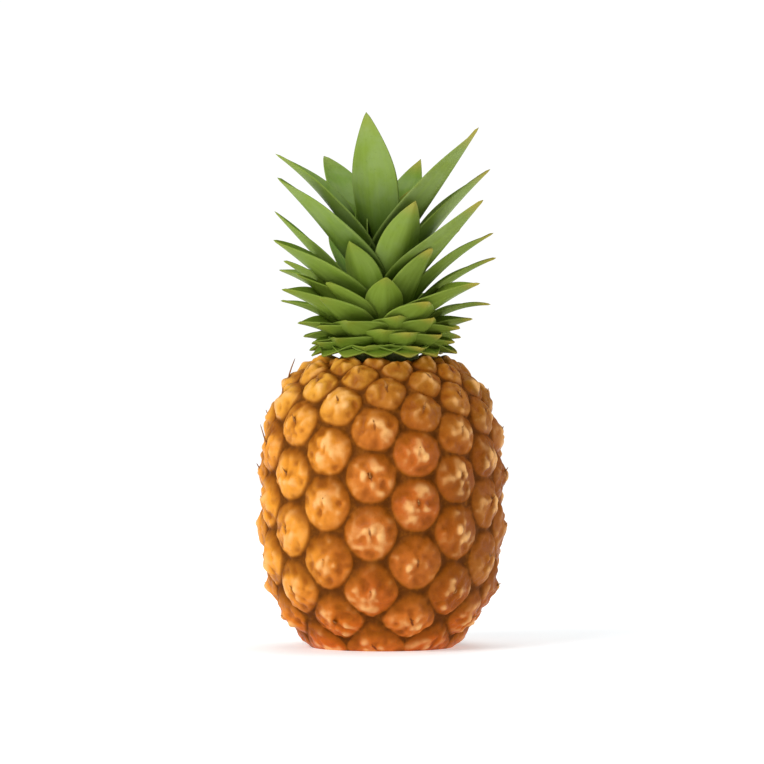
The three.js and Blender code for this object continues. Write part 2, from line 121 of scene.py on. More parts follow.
# The bracts' dry tips, and the two on the left that stayed long, as a row and a place in it.
BRACT = {"width": 0.0024, "sunk": 0.0012, "lift": 0.3, "thick": 0.0005}
BRACT_LENGTH = {"shortest": 0.0032, "varies": 0.0016, "long": 0.011}
BRACT_FORM = {"lean": 0.5, "curl": 0.65, "curl_power": 0.6, "taper": 0.8, "thinning": 0.6}
BRACT_ROWS = range(1, 11)
LONG_BRACTS = [(7, 6), (10, 6)]
BRACT_STATIONS = 7

# The crown's stem, as radii and heights.
STEM = [
    (0.0186, 0.1427),
    (0.0182, 0.149),
    (0.0155, 0.165),
    (0.0118, 0.180),
    (0.0065, 0.194),
    (0.003, 0.202),
    (0.0, 0.204),
]
ROOTS = {"lowest": 0.1476, "highest": 0.197, "tip_lowest": 0.145, "tip_highest": 0.268, "bend": 1.4}
LEAF = {"edge": 0.0006, "middle": 0.0022, "tip": 0.0007, "root_depth": 0.004, "narrowing": 0.2}
# How a pointed and a blunt leaf differ: the widest place from the tip, and the taper's power.
WIDEST_PLACE = (0.68, 0.5)
TAPER_POWER = (1.05, 0.85)
LEAF_SECTION = {"fold_power": 1.3, "edge_power": 1.5}
LEAF_WAVE = {"height": 0.0005, "turn": 9, "start": 6}
ROLLED_BY = 0.6
LEAF_STATIONS = 34
LEAF_COLUMNS = 11
# The leaves keep this far from the top of the fruit.
CLEARANCE = 0.0018

# The leaves that shape the crown's front and sides: azimuth in degrees, the tip's reach and height, width,
# arch, blunt, channel and roll in degrees, as in the solid.
SHOWN_LEAVES = [
    (-80, 0.036, 0.1455, 0.022, 0.08, 0, 0.55, 0),
    (-55, 0.0365, 0.1462, 0.026, -0.1, 0.8, 0.45, 0),
    (-30, 0.0362, 0.1456, 0.027, -0.1, 0.9, 0.45, 0),
    (-4, 0.0358, 0.1454, 0.027, -0.1, 0.9, 0.45, 0),
    (22, 0.0360, 0.1456, 0.027, -0.1, 0.9, 0.45, 0),
    (48, 0.0367, 0.1462, 0.026, -0.1, 0.8, 0.45, 0),
    (75, 0.039, 0.1475, 0.022, 0.06, 0.3, 0.45, 0),
    (95, 0.038, 0.147, 0.024, 0.08, 0, 0.55, 0),
    (-98, 0.037, 0.1485, 0.020, 0.08, 0, 0.55, 0),
    (-68, 0.038, 0.1525, 0.020, 0, 0.4, 0.5, 0),
    (-14, 0.0345, 0.1512, 0.026, -0.35, 0.9, 0.5, 0),
    (34, 0.0352, 0.1505, 0.026, -0.35, 0.9, 0.5, 0),
    (-62, 0.0370, 0.1530, 0.023, -0.2, 0.6, 0.5, 0),
    (-40, 0.0365, 0.1555, 0.028, -0.3, 0.8, 0.5, 0),
    (23, 0.0350, 0.1582, 0.029, -0.3, 0.9, 0.5, 0),
    (52, 0.0380, 0.1570, 0.025, -0.2, 0.7, 0.5, 0),
    (66, 0.040, 0.153, 0.019, 0, 0.4, 0.5, 0),
    (96, 0.040, 0.155, 0.019, 0.1, 0, 0.55, 0),
    (-98, 0.040, 0.1555, 0.019, 0.1, 0, 0.55, 0),
    (-74, 0.044, 0.1625, 0.023, 0.12, 0, 0.55, 10),
    (-52, 0.041, 0.161, 0.023, 0.04, 0.5, 0.45, 0),
    (-27, 0.0380, 0.1640, 0.031, -0.15, 0.7, 0.45, 0),
    (2, 0.0338, 0.1595, 0.026, -0.2, 0.9, 0.45, 0),
    (42, 0.0385, 0.1655, 0.025, -0.15, 0.7, 0.45, 0),
    (60, 0.045, 0.160, 0.020, 0.1, 0.3, 0.5, 0),
    (78, 0.0465, 0.1645, 0.020, 0.08, 0, 0.55, 10),
    (96, 0.055, 0.1715, 0.010, 0.24, 0, 0.55, 0),
    (-88, 0.051, 0.1735, 0.012, 0.16, 0, 0.55, 0),
    (14, 0.0330, 0.1665, 0.024, -0.15, 0.9, 0.45, 0),
    (35, 0.040, 0.1735, 0.027, -0.04, 0.7, 0.4, 0),
    (-46, 0.043, 0.1755, 0.026, -0.02, 0.6, 0.45, 0),
    (-60, 0.0577, 0.1795, 0.029, 0.08, 0, 0.55, 14),
    (61, 0.0558, 0.1825, 0.028, 0.1, 0, 0.55, 14),
    (3, 0.031, 0.1855, 0.019, 0, 1, 0.35, 0),
    (-44, 0.040, 0.183, 0.024, 0.02, 0.5, 0.45, 4),
    (-70, 0.0455, 0.187, 0.022, 0.06, 0, 0.55, 8),
    (-88, 0.0495, 0.1935, 0.020, 0.1, 0, 0.55, 0),
    (92, 0.0575, 0.195, 0.012, 0.15, 0, 0.55, 0),
    (-65, 0.0597, 0.204, 0.031, 0.06, 0, 0.55, 14),
    (74, 0.058, 0.2075, 0.015, 0.12, 0, 0.55, 6),
    (44, 0.036, 0.200, 0.022, 0.04, 0.6, 0.45, 4),
    (-33, 0.030, 0.2035, 0.021, 0.04, 0.7, 0.45, 0),
    (-88, 0.054, 0.2185, 0.016, 0, 0, 0.55, 0),
    (60, 0.0582, 0.224, 0.031, 0, 0, 0.55, 14),
    (30, 0.0335, 0.2235, 0.024, 0.04, 0.6, 0.45, 0),
    (-64, 0.0580, 0.235, 0.032, 0.06, 0, 0.55, 14),
    (86, 0.0545, 0.2395, 0.025, 0.07, 0, 0.55, 6),
    (-78, 0.0545, 0.247, 0.025, 0.15, 0, 0.55, 16),
    (-142, 0.048, 0.2465, 0.028, 0.1, 0.8, 0.3, 0),
    (152, 0.042, 0.245, 0.022, 0.1, 0.6, 0.3, 0),
    (63, 0.0541, 0.260, 0.032, -0.01, 0, 0.55, 12),
    (-33, 0.0145, 0.2678, 0.0265, -0.05, 0.9, 0.25, 0),
]
# The leaves behind go up in a spiral. A pair of values holds for the lowest and the highest of them.
GOLDEN_ANGLE = 137.508
BACK_COUNT = 34
BACK_FRONT = 110
BACK_FIRST = 160
BACK_REACH = (0.038, 0.058)
BACK_REACH_BY = 0.4
BACK_DRAWN_IN = 0.034
BACK_DRAWN_FROM = 0.5
BACK_HEIGHT = (0.152, 0.238)
BACK_HEIGHT_POWER = 1.1
BACK_WIDTH = (0.024, 0.025)
BACK_ARCH = (0.2, 0.08)
BACK_BLUNT = 0.5
BACK_CHANNEL = 0.55
BACK_WANDER = 0.004
SKIRT_AZIMUTHS = [122, 148, 174, 200, 226, 252]
SKIRT_LEAF = (0.0365, 0.147, 0.027, -0.15, 0.8, 0.45, 0)
HEART_AZIMUTHS = [165, 200, 240]
HEART_LEAF = (0.008, 0.226, 0.017, 0.02, 0.8, 0.5, 0)
# A leaf whose tip is at the first height has an age of 1, and one that far above it has an age of 0.
AGE = {"oldest": 0.1445, "range": 0.1233}

STEM_COLUMNS = 64
STALK_COLUMNS = 96
STALK_RINGS = (0.2, 0.4, 0.6, 0.8)

# The studio. The world is brighter where the camera sees it than as light on the pineapple.
CAMERA = {"distance": 3.0, "elevation": 1.5, "aim": 0.13275, "lens": 282, "sensor": 36, "far": 50}
FLOOR_HALF = 1.6
WORLD = {"light": 0.32, "seen": 1.05}
# Each light's place, size and power.
LIGHTS = {
    "key": ((-1.5, -1.5, 1.5), 1.4, 44),
    "fill": ((1.8, -1.6, 0.8), 1.6, 4),
    "top": ((0.2, 0.6, 2.2), 1.8, 22),
    "rim": ((1.7, 0.3, 0.5), 0.8, 7),
}

# The sums behind repeatable draws.
HASH_STEPS = (127.1, 311.7, 74.7)
HASH_SCALE = 43758.5453
HASH_START = 17.3
HASH_SEED = 19.19


# Shared sums


def draw(a, b):
    """A repeatable number from 0 to 1 for a pair of whole numbers."""
    x = math.sin(a * HASH_STEPS[0] + b * HASH_STEPS[1] + HASH_START) * HASH_SCALE
    return x - math.floor(x)


def lerp(a, b, share):
    return a + (b - a) * share


def smoothstep(value, low, high):
    """0 below the low value and 1 above the high one, with a smooth rise between them."""
    share = np.clip((value - low) / (high - low), 0, 1)
    return share * share * (3 - 2 * share)


def wrap(angle):
    """The same angle, from minus half a turn to half a turn."""
    return np.arctan2(np.sin(angle), np.cos(angle))


def outward(azimuth):
    return np.array([math.sin(azimuth), -math.cos(azimuth), 0.0])


def sideways(azimuth):
    return np.array([math.cos(azimuth), math.sin(azimuth), 0.0])


def lattice_value(cells, seed):
    """A repeatable number from -1 to 1 for each whole-number cell."""
    x = np.sin(cells @ np.array(HASH_STEPS) + seed * HASH_SEED) * HASH_SCALE
    return 2 * (x - np.floor(x)) - 1


def lumps(points, size, seed):
    """Smooth noise from -1 to 1 through space, with lumps of about that size."""
    scaled = points / size
    cell = np.floor(scaled)
    share = scaled - cell
    share = share * share * (3 - 2 * share)
    total = np.zeros(len(points))
    for corner in np.ndindex(2, 2, 2):
        step = np.array(corner)
        weight = np.prod(np.where(step, share, 1 - share), axis=1)
        total += weight * lattice_value(cell + step, seed)
    return total


def mesh_piece(name, points, faces, material):
    """A smooth-shaded object of those points and faces, on the one body."""
    mesh = bpy.data.meshes.new(name)
    mesh.from_pydata(points.tolist(), [], faces)
    mesh.shade_smooth()
    mesh.materials.append(material)
    piece = bpy.data.objects.new(name, mesh)
    bpy.context.scene.collection.objects.link(piece)
    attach(piece, "root")
    return piece


def store(piece, name, domain, vectors):
    """Keeps a vector for each point or corner, for the material to read."""
    attribute = piece.data.attributes.new(name, "FLOAT_VECTOR", domain)
    attribute.data.foreach_set("vector", np.asarray(vectors, dtype=np.float32).ravel())


# The fruit's outline


def quarter(distance, form):
    """The share of the widest radius at a distance below or above the widest ring."""
    return (1 - np.minimum(1, distance / form["reach"]) ** form["bulge"]) ** (1 / form["round"])


def fruit_radius(height):
    above = height - WIDEST_HEIGHT
    distance = np.abs(above)
    return FRUIT_RADIUS * np.where(above < 0, quarter(distance, LOWER), quarter(distance, UPPER))


OUTLINE_HEIGHT = lerp(LOWEST, FRUIT_TOP, (1 - np.cos(np.pi * np.linspace(0, 1, OUTLINE_STEPS))) / 2)
OUTLINE_RADIUS = fruit_radius(OUTLINE_HEIGHT)
OUTLINE_STEP = np.hypot(np.diff(OUTLINE_RADIUS), np.diff(OUTLINE_HEIGHT))
OUTLINE_ALONG = np.concatenate([[0], np.cumsum(OUTLINE_STEP)])
# Distances along the outline count from the floor.
OUTLINE_ALONG -= np.interp(0, OUTLINE_HEIGHT, OUTLINE_ALONG)
OUTLINE_OUT = np.gradient(OUTLINE_HEIGHT, OUTLINE_ALONG)
OUTLINE_UP = -np.gradient(OUTLINE_RADIUS, OUTLINE_ALONG)


def outline_at(along):
    """The outline's radius, height and outward direction at distances along it from the floor."""
    curves = [OUTLINE_RADIUS, OUTLINE_HEIGHT, OUTLINE_OUT, OUTLINE_UP]
    return [np.interp(along, OUTLINE_ALONG, curve) for curve in curves]


# The eyes


def eye_at(row, half_step):
    """The azimuth of an eye and its distance along the outline. Even rows hold even half steps."""
    place = half_step % HALF_STEPS
    twist = TWIST * max(0, row - TWIST_FROM) ** 2
    azimuth = math.radians(EVEN_AZIMUTH + twist + 360 * place / HALF_STEPS)
    tilt = TILT * smoothstep(row, TILT_FROM, TILT_FULL)
    middle = EYE_FIRST + EYE_STEP * row - EYE_SHRINK * row * row
    return azimuth, middle - tilt * math.sin(azimuth) + WANDER * (draw(row, place) - 0.5)


def eye_index(row, half_step):
    """Where an eye stands in the list of all eyes. Rows past either end count as the last one."""
    row = min(max(row, LOWEST_ROW), HIGHEST_ROW)
    return (row - LOWEST_ROW) * PER_ROW + (half_step % HALF_STEPS) // 2


EYE_KEYS = [(row, 2 * k + row % 2) for row in range(LOWEST_ROW, HIGHEST_ROW + 1) for k in range(PER_ROW)]
EYES = np.array([eye_at(row, place) for row, place in EYE_KEYS])
NEIGHBOUR_STEPS = [(1, 1), (2, 0), (1, -1), (-1, -1), (-2, 0), (-1, 1)]
NEIGHBOURS = np.array(
    [[eye_index(row + up, place + turn) for up, turn in NEIGHBOUR_STEPS] for row, place in EYE_KEYS]
)
EYE_TONES = np.array([draw(row + 50, place) for row, place in EYE_KEYS])


def nearest_eye(azimuth, along):
    """The index of the eye that each place of the skin belongs to."""
    radius = outline_at(along)[0]
    best = np.zeros(len(azimuth), dtype=int)
    least = np.full(len(azimuth), np.inf)
    for i, (eye_azimuth, eye_along) in enumerate(EYES):
        distance = np.hypot(wrap(azimuth - eye_azimuth) * radius, along - eye_along)
        closer = distance < least
        best[closer] = i
        least[closer] = distance[closer]
    return best


def place_in_eye(azimuth, along, eye):
    """Where a place lies from its eye's centre, to the right and up along the skin."""
    radius = outline_at(along)[0]
    return wrap(azimuth - EYES[eye, 0]) * radius, along - EYES[eye, 1]


def share_of_eye(azimuth, along, eye):
    """0 at an eye's centre to 1 at the groove round it, and 0 to 1 for how near a corner of three eyes is."""
    radius = outline_at(along)[0]
    x, y = place_in_eye(azimuth, along, eye)
    gauges = []
    for step in range(len(NEIGHBOUR_STEPS)):
        other = NEIGHBOURS[eye, step]
        to_x = wrap(EYES[other, 0] - EYES[eye, 0]) * radius
        to_y = EYES[other, 1] - EYES[eye, 1]
        gauges.append(2 * (x * to_x + y * to_y) / np.maximum(to_x**2 + to_y**2, TINY_AREA))
    gauges = np.sort(np.maximum(gauges, 0), axis=0)
    corner = smoothstep(gauges[-2], GROOVE_FROM, 1.0) * smoothstep(gauges[-1], GROOVE_FROM, 1.0)
    # A sum of high powers rounds off the corners of the six-sided eye.
    return np.sum(gauges**ROUNDING, axis=0) ** (1 / ROUNDING), corner


# The skin's relief


def eye_draws(eye, salt):
    """A repeatable number from 0 to 1 for each of these eyes."""
    table = np.array([draw(row * 7 + salt, place + 3 * salt) for row, place in EYE_KEYS])
    return table[eye]


def centre_relief(x, y, eye, scale):
    """The nubs and the slit in the middle of an eye, for places right and up from its centre."""
    relief = np.zeros(len(x))
    for salt, (nub_x, nub_y) in enumerate(NUBS):
        from_x = x - nub_x - NUB_WANDER * (eye_draws(eye, salt + 1) - 0.5)
        from_y = y - nub_y - NUB_WANDER * (eye_draws(eye, salt + 11) - 0.5)
        grown = NUB_LEAST + NUB_VARIES * eye_draws(eye, salt + 41)
        relief += NUB_HEIGHT * grown * np.exp(-(from_x**2 + from_y**2 / 2) / NUB_SPREAD**2)
    lean = SLIT["lean"] * (eye_draws(eye, 21) - 0.5)
    slit_x = x * np.cos(lean) - y * np.sin(lean)
    slit_y = x * np.sin(lean) + y * np.cos(lean)
    cut = np.exp(-((slit_x / SLIT["width"]) ** 2) - (slit_y / SLIT["length"]) ** 2)
    return (relief - SLIT["depth"] * cut * (SLIT["least"] + eye_draws(eye, 51))) * scale


def lobe_relief(x, y, eye, points):
    """The lobes that fan out below an eye's centre, for places right and up from it."""
    distance = np.hypot(x, y)
    angle = np.arctan2(x, -y) + LOBE_WANDER["angle"] * lumps(points, LOBE_WANDER["size"], 9)
    half_turns = (LOBES["count"] * angle + LOBES["turn"] * eye_draws(eye, 31)) / 2
    ridges = 1 - 2 * np.abs(np.sin(half_turns)) ** LOBES["sharpness"]
    ring = smoothstep(distance, LOBE_REACH["start"], LOBE_REACH["full"])
    ring *= 1 - smoothstep(distance, LOBE_REACH["fading"], LOBE_REACH["end"])
    below = smoothstep(-y / np.maximum(distance, TINY_LENGTH), LOBE_SIDE["above"], LOBE_SIDE["below"])
    return LOBES["height"] * ridges * ring * lerp(LOBES["above"], 1, below)


def skin_heights(azimuth, along):
    """How far the skin stands out from the outline, its share of the way to the groove, and its relief."""
    eye = nearest_eye(azimuth, along)
    x, y = place_in_eye(azimuth, along, eye)
    share, corner = share_of_eye(azimuth, along, eye)
    radius, height, _, _ = outline_at(along)
    points = np.stack([radius * np.sin(azimuth), -radius * np.cos(azimuth), height], axis=1)
    open_share = 1 - smoothstep(share, GROOVE_FROM, 1.0)
    scale = lerp(1, FLATTER["share"], smoothstep(along, FLATTER["from"], FLATTER["to"]))
    fine = centre_relief(x, y, eye, scale) + lobe_relief(x, y, eye, points) * scale
    fine += LUMP_HEIGHT * lumps(points, LUMP_SIZE, 3) * lerp(LUMPS_IN_GROOVE, 1, open_share)
    fine += SMALL_LUMP_HEIGHT * lumps(points, SMALL_LUMP_SIZE, 5)
    nub = NUB * scale * np.exp(-((x / NUB_REACH) ** 2) - (y / NUB_REACH) ** 2)
    dome = nub - DEPTH * np.minimum(share, GROOVE_FLOOR) ** DOME - (CORNER_DEPTH - DEPTH) * corner
    return (dome + fine) * smoothstep(along, 0, FADE_IN), share, fine


def make_skin(material):
    """The whole skin as rings of points, from the socket underneath to the floor of the bowl on top."""
    upper = OUTLINE_HEIGHT > WIDEST_HEIGHT
    last = np.interp(-BOWL["rim_radius"], -OUTLINE_RADIUS[upper], OUTLINE_ALONG[upper])
    rows = np.linspace(0, last, SKIN_ROWS)
    turns = np.linspace(0, 2 * np.pi, SKIN_COLUMNS, endpoint=False)
    azimuth = np.tile(turns, SKIN_ROWS)
    along = np.repeat(rows, SKIN_COLUMNS)
    stand, share, fine = skin_heights(azimuth, along)
    radius, height, out, up = outline_at(along)
    ring_radius = (radius + out * stand).reshape(SKIN_ROWS, SKIN_COLUMNS)
    ring_height = (height + up * stand).reshape(SKIN_ROWS, SKIN_COLUMNS)
    underside = [
        (0.0, SOCKET_DEPTH),
        (SOCKET_RADIUS, SOCKET_DEPTH),
        (SOCKET_RADIUS, HOLLOW_RISE),
        (HOLLOW_RADIUS, HOLLOW_RISE),
        (REST_RADIUS, 0.0),
    ]
    bowl = [(BOWL["floor_radius"], BOWL["floor"]), (0.0, BOWL["floor"])]
    flat = np.ones(SKIN_COLUMNS)
    radii = np.array([r * flat for r, _ in underside] + list(ring_radius) + [r * flat for r, _ in bowl])
    heights = np.array([z * flat for _, z in underside] + list(ring_height) + [z * flat for _, z in bowl])
    # The two ends of the axis are one small hole each, too narrow to see.
    radii = np.maximum(radii, PINHOLE)
    all_rows = len(radii)
    angle = np.tile(turns, all_rows)
    points = np.stack(
        [radii.ravel() * np.sin(angle), -radii.ravel() * np.cos(angle), heights.ravel()],
        axis=1,
    )
    under = np.ones(len(underside) * SKIN_COLUMNS)
    over = np.ones(len(bowl) * SKIN_COLUMNS)
    alongs = np.concatenate([0 * under, along, last * over])
    shares = np.concatenate([under, share, over])
    fines = np.concatenate([0 * under, fine, 0 * over])
    column = np.arange(SKIN_COLUMNS)
    beside = (column + 1) % SKIN_COLUMNS
    lower = np.arange(all_rows - 1)[:, None] * SKIN_COLUMNS
    faces = np.stack(
        [lower + column, lower + beside, lower + SKIN_COLUMNS + beside, lower + SKIN_COLUMNS + column],
        axis=2,
    ).reshape(-1, 4)
    piece = mesh_piece("skin", points, faces.tolist(), material)
    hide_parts("fruit")
    # Each face keeps its corners' places in one eye, so that nothing smears where two eyes meet.
    face_turn = turns[faces[:, 0] % SKIN_COLUMNS] + np.pi / SKIN_COLUMNS
    face_along = alongs[faces].mean(axis=1)
    eye = np.repeat(nearest_eye(face_turn, face_along), 4)
    x, y = place_in_eye(angle[faces.ravel()], alongs[faces.ravel()], eye)
    store(piece, "eye_place", "CORNER", np.stack([x / EYE_UNIT, y / EYE_UNIT, EYE_TONES[eye]], axis=1))
    store(piece, "skin_form", "POINT", np.stack([shares, alongs / last, fines / MILLIMETRE], axis=1))


def bract_tip(row, place):
    """The points of one dry tip, a thin blade that leans up along the skin and curls out."""
    azimuth, along = eye_at(row, place)
    radius, height, out, up = [float(value) for value in outline_at(along)]
    away = outward(azimuth)
    side = sideways(azimuth)
    normal = away * out + UP * up
    climb = UP * out - away * up
    is_long = (row, place // 2) in LONG_BRACTS
    short = BRACT_LENGTH["shortest"] + BRACT_LENGTH["varies"] * draw(row, place + 40)
    length = BRACT_LENGTH["long"] if is_long else short
    root = away * radius + UP * height - climb * BRACT["width"] / 2 - normal * BRACT["sunk"]
    lean = BRACT_FORM["lean"] * (draw(row, place + 60) - 0.5)
    full_rise = BRACT["sunk"] + NUB + BRACT["lift"] * length
    points = []
    for i in range(BRACT_STATIONS):
        share = i / BRACT_STATIONS
        rise = full_rise * lerp(share, share ** BRACT_FORM["curl_power"], BRACT_FORM["curl"])
        middle = root + climb * length * share + normal * rise + side * lean * length * share**2
        half = BRACT["width"] / 2 * (1 - share) ** BRACT_FORM["taper"]
        thick = BRACT["thick"] * (1 - BRACT_FORM["thinning"] * share)
        for across, depth in [(-1, 0), (0, -thick), (1, 0), (0, thick)]:
            points.append(middle + side * across * half + normal * depth)
    tip = root + climb * length + normal * full_rise + side * lean * length
    return points + [tip]


def tapered_faces(stations, sides):
    """The faces of a blade of rings that ends in one point, closed at its root."""
    faces = [list(range(sides))[::-1]]
    for i in range(stations - 1):
        for a in range(sides):
            b = (a + 1) % sides
            faces.append([i * sides + a, i * sides + b, (i + 1) * sides + b, (i + 1) * sides + a])
    end = stations * sides
    faces += [[end - sides + a, end - sides + (a + 1) % sides, end] for a in range(sides)]
    return faces


def make_bracts(material):
    points = []
    faces = []
    own_faces = tapered_faces(BRACT_STATIONS, 4)
    for row in BRACT_ROWS:
        for place in range(row % 2, HALF_STEPS, 2):
            faces += [[len(points) + corner for corner in face] for face in own_faces]
            points += bract_tip(row, place)
    piece = mesh_piece("bract_tips", np.array(points), faces, material)
    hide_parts("fruit")


# The crown


def stem_radius(height):
    return float(np.interp(height, [z for _, z in STEM], [r for r, _ in STEM]))


def width_share(from_tip, blunt):
    """The share of a leaf's width at a distance from its tip, from 0 at the tip to 1 at the root."""
    widest = lerp(*WIDEST_PLACE, blunt)
    if from_tip > widest:
        return 1 - LEAF["narrowing"] * ((from_tip - widest) / (1 - widest)) ** 2
    return math.sin(math.pi / 2 * from_tip / widest) ** lerp(*TAPER_POWER, blunt)


def shoulder_height(radius):
    """The height of the fruit's top outline at a radius."""
    share = np.clip(radius / FRUIT_RADIUS, 0, 1) ** UPPER["round"]
    return WIDEST_HEIGHT + UPPER["reach"] * (1 - share) ** (1 / UPPER["bulge"])


def turn_about(vector, axis, angle):
    """The vector turned about a unit axis that is square to it."""
    return vector * math.cos(angle) + np.cross(axis, vector) * math.sin(angle)


def leaf_points(number, azimuth, reach, height, width, arch, blunt, channel, roll):
    """The points of one blade on the solid's centreline, and where each lies across, along and in depth."""
    turn = math.radians(azimuth)
    away = outward(turn)
    side = sideways(turn)
    rise = max(0, (height - ROOTS["tip_lowest"]) / (ROOTS["tip_highest"] - ROOTS["tip_lowest"]))
    root_height = lerp(ROOTS["lowest"], ROOTS["highest"], rise ** ROOTS["bend"])
    root = np.array([stem_radius(root_height) - LEAF["root_depth"], root_height])
    tip = np.array([reach, height])
    chord = tip - root
    bend = (root + tip) / 2 + np.array([-chord[1], chord[0]]) * arch
    across_steps = np.sin(np.linspace(-np.pi / 2, np.pi / 2, LEAF_COLUMNS))
    ring = [(step, -1) for step in across_steps] + [(step, 1) for step in across_steps[::-1]]
    points = []
    places = []
    for i in range(LEAF_STATIONS):
        share = i / LEAF_STATIONS
        spot = (1 - share) ** 2 * root + 2 * share * (1 - share) * bend + share**2 * tip
        slope = 2 * (1 - share) * (bend - root) + 2 * share * (tip - bend)
        slope = slope / np.linalg.norm(slope)
        middle = away * spot[0] + UP * spot[1]
        along = away * slope[0] + UP * slope[1]
        rolled = -np.sign(math.sin(turn)) * math.radians(roll) * float(smoothstep(share, 0, ROLLED_BY))
        across = turn_about(side, along, -rolled)
        inner = np.cross(along, across)
        half = width / 2 * width_share(1 - share, blunt)
        thick = lerp(LEAF["middle"], LEAF["tip"], share**2) / 2
        wave_angle = LEAF_WAVE["turn"] * share + LEAF_WAVE["start"] * draw(number, 5)
        wave = LEAF_WAVE["height"] * math.sin(wave_angle) * share
        for step, face in ring:
            fold = channel * half * abs(step) ** LEAF_SECTION["fold_power"] + wave * step
            depth = lerp(thick, LEAF["edge"] / 2, abs(step) ** LEAF_SECTION["edge_power"]) * face
            point = middle + across * step * half + inner * (fold + depth)
            points.append(point)
            places.append((step, share, face))
    points.append(away * reach + UP * height)
    places.append((0, 1, 0))
    return np.array(points), np.array(places)


def clear_of_shoulder(points, faces_up):
    """Lifts what would sink into the top of the fruit, the upper face a blade's thickness more."""
    radius = np.hypot(points[:, 0], points[:, 1])
    least = shoulder_height(radius) + CLEARANCE + LEAF["edge"] * (faces_up + 1)
    near = radius < FRUIT_RADIUS
    points[:, 2] = np.where(near, np.maximum(points[:, 2], least), points[:, 2])
    return points


def back_leaves():
    """The leaves behind, in the same form as the table of those in front."""
    leaves = []
    for i in range(BACK_COUNT):
        share = i / (BACK_COUNT - 1)
        azimuth = (BACK_FIRST + GOLDEN_ANGLE * i) % 360 - 180
        if abs(azimuth) < BACK_FRONT:
            continue
        spread = lerp(*BACK_REACH, float(smoothstep(share, 0, BACK_REACH_BY)))
        drawn_in = BACK_DRAWN_IN * float(smoothstep(share, BACK_DRAWN_FROM, 1))
        reach = spread - drawn_in + BACK_WANDER * (draw(i, 1) - 0.5)
        height = lerp(*BACK_HEIGHT, share**BACK_HEIGHT_POWER) + BACK_WANDER * draw(i, 2)
        width = lerp(*BACK_WIDTH, share)
        arch = lerp(*BACK_ARCH, share)
        leaves.append((azimuth, reach, height, width, arch, BACK_BLUNT * share, BACK_CHANNEL, 0))
    return leaves


def make_leaves(material):
    leaves = SHOWN_LEAVES + back_leaves()
    leaves += [(azimuth, *SKIRT_LEAF) for azimuth in SKIRT_AZIMUTHS]
    leaves += [(azimuth, *HEART_LEAF) for azimuth in HEART_AZIMUTHS]
    own_faces = tapered_faces(LEAF_STATIONS, 2 * LEAF_COLUMNS)
    points = []
    places = []
    tones = []
    faces = []
    count = 0
    for number, leaf in enumerate(leaves):
        own_points, own_places = leaf_points(number, *leaf)
        own_points = clear_of_shoulder(own_points, own_places[:, 2])
        points.append(own_points)
        places.append(own_places)
        azimuth, _, height = leaf[:3]
        age = 1 - (height - AGE["oldest"]) / AGE["range"]
        tone = [age, draw(number, 8), math.sin(math.radians(azimuth))]
        tones.append(np.tile(tone, (len(own_points), 1)))
        faces += [[count + corner for corner in face] for face in own_faces]
        count += len(own_points)
    piece = mesh_piece("leaves", np.concatenate(points), faces, material)
    store(piece, "leaf_place", "POINT", np.concatenate(places))
    store(piece, "leaf_tone", "POINT", np.concatenate(tones))
    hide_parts("crown")


def turned_piece(name, profile, columns, material):
    """A closed smooth body round the axis, through points of radius and height."""
    turns = np.linspace(0, 2 * np.pi, columns, endpoint=False)
    points = [[0, 0, profile[0][1]]]
    for radius, height in profile[1:-1]:
        points += [[radius * math.sin(turn), -radius * math.cos(turn), height] for turn in turns]
    points.append([0, 0, profile[-1][1]])
    faces = [[0, 1 + (a + 1) % columns, 1 + a] for a in range(columns)]
    for i in range(len(profile) - 3):
        start = 1 + i * columns
        for a in range(columns):
            b = (a + 1) % columns
            faces.append([start + a, start + b, start + columns + b, start + columns + a])
    start = 1 + (len(profile) - 3) * columns
    faces += [[start + a, start + (a + 1) % columns, len(points) - 1] for a in range(columns)]
    return mesh_piece(name, np.array(points), faces, material)


def make_stem(material):
    piece = turned_piece("crown_stem", [(0, STEM[0][1])] + STEM, STEM_COLUMNS, material)
    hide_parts("crown")


def make_stalk_end(material):
    radius = STALK["radius"]
    bevel = STALK["bevel"]
    corner = bevel * STALK["corner"]
    profile = [(0, 0.0)] + [(radius * share, 0.0) for share in STALK_RINGS]
    profile += [
        (radius - bevel, 0.0),
        (radius - corner, corner),
        (radius, bevel),
        (radius, STALK["height"]),
        (0, STALK["height"]),
    ]
    piece = turned_piece("stalk_cut", profile, STALK_COLUMNS, material)
    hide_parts("stalk_end")


# Materials


def shade(red, green, blue):
    """A colour as a screen shows it, from 0 to 255, turned into linear light by the standard curve."""
    screen = (red, green, blue)
    linear = [((value / 255 + 0.055) / 1.055) ** 2.4 if value > 10 else value / 3295 for value in screen]
    return (*linear, 1.0)


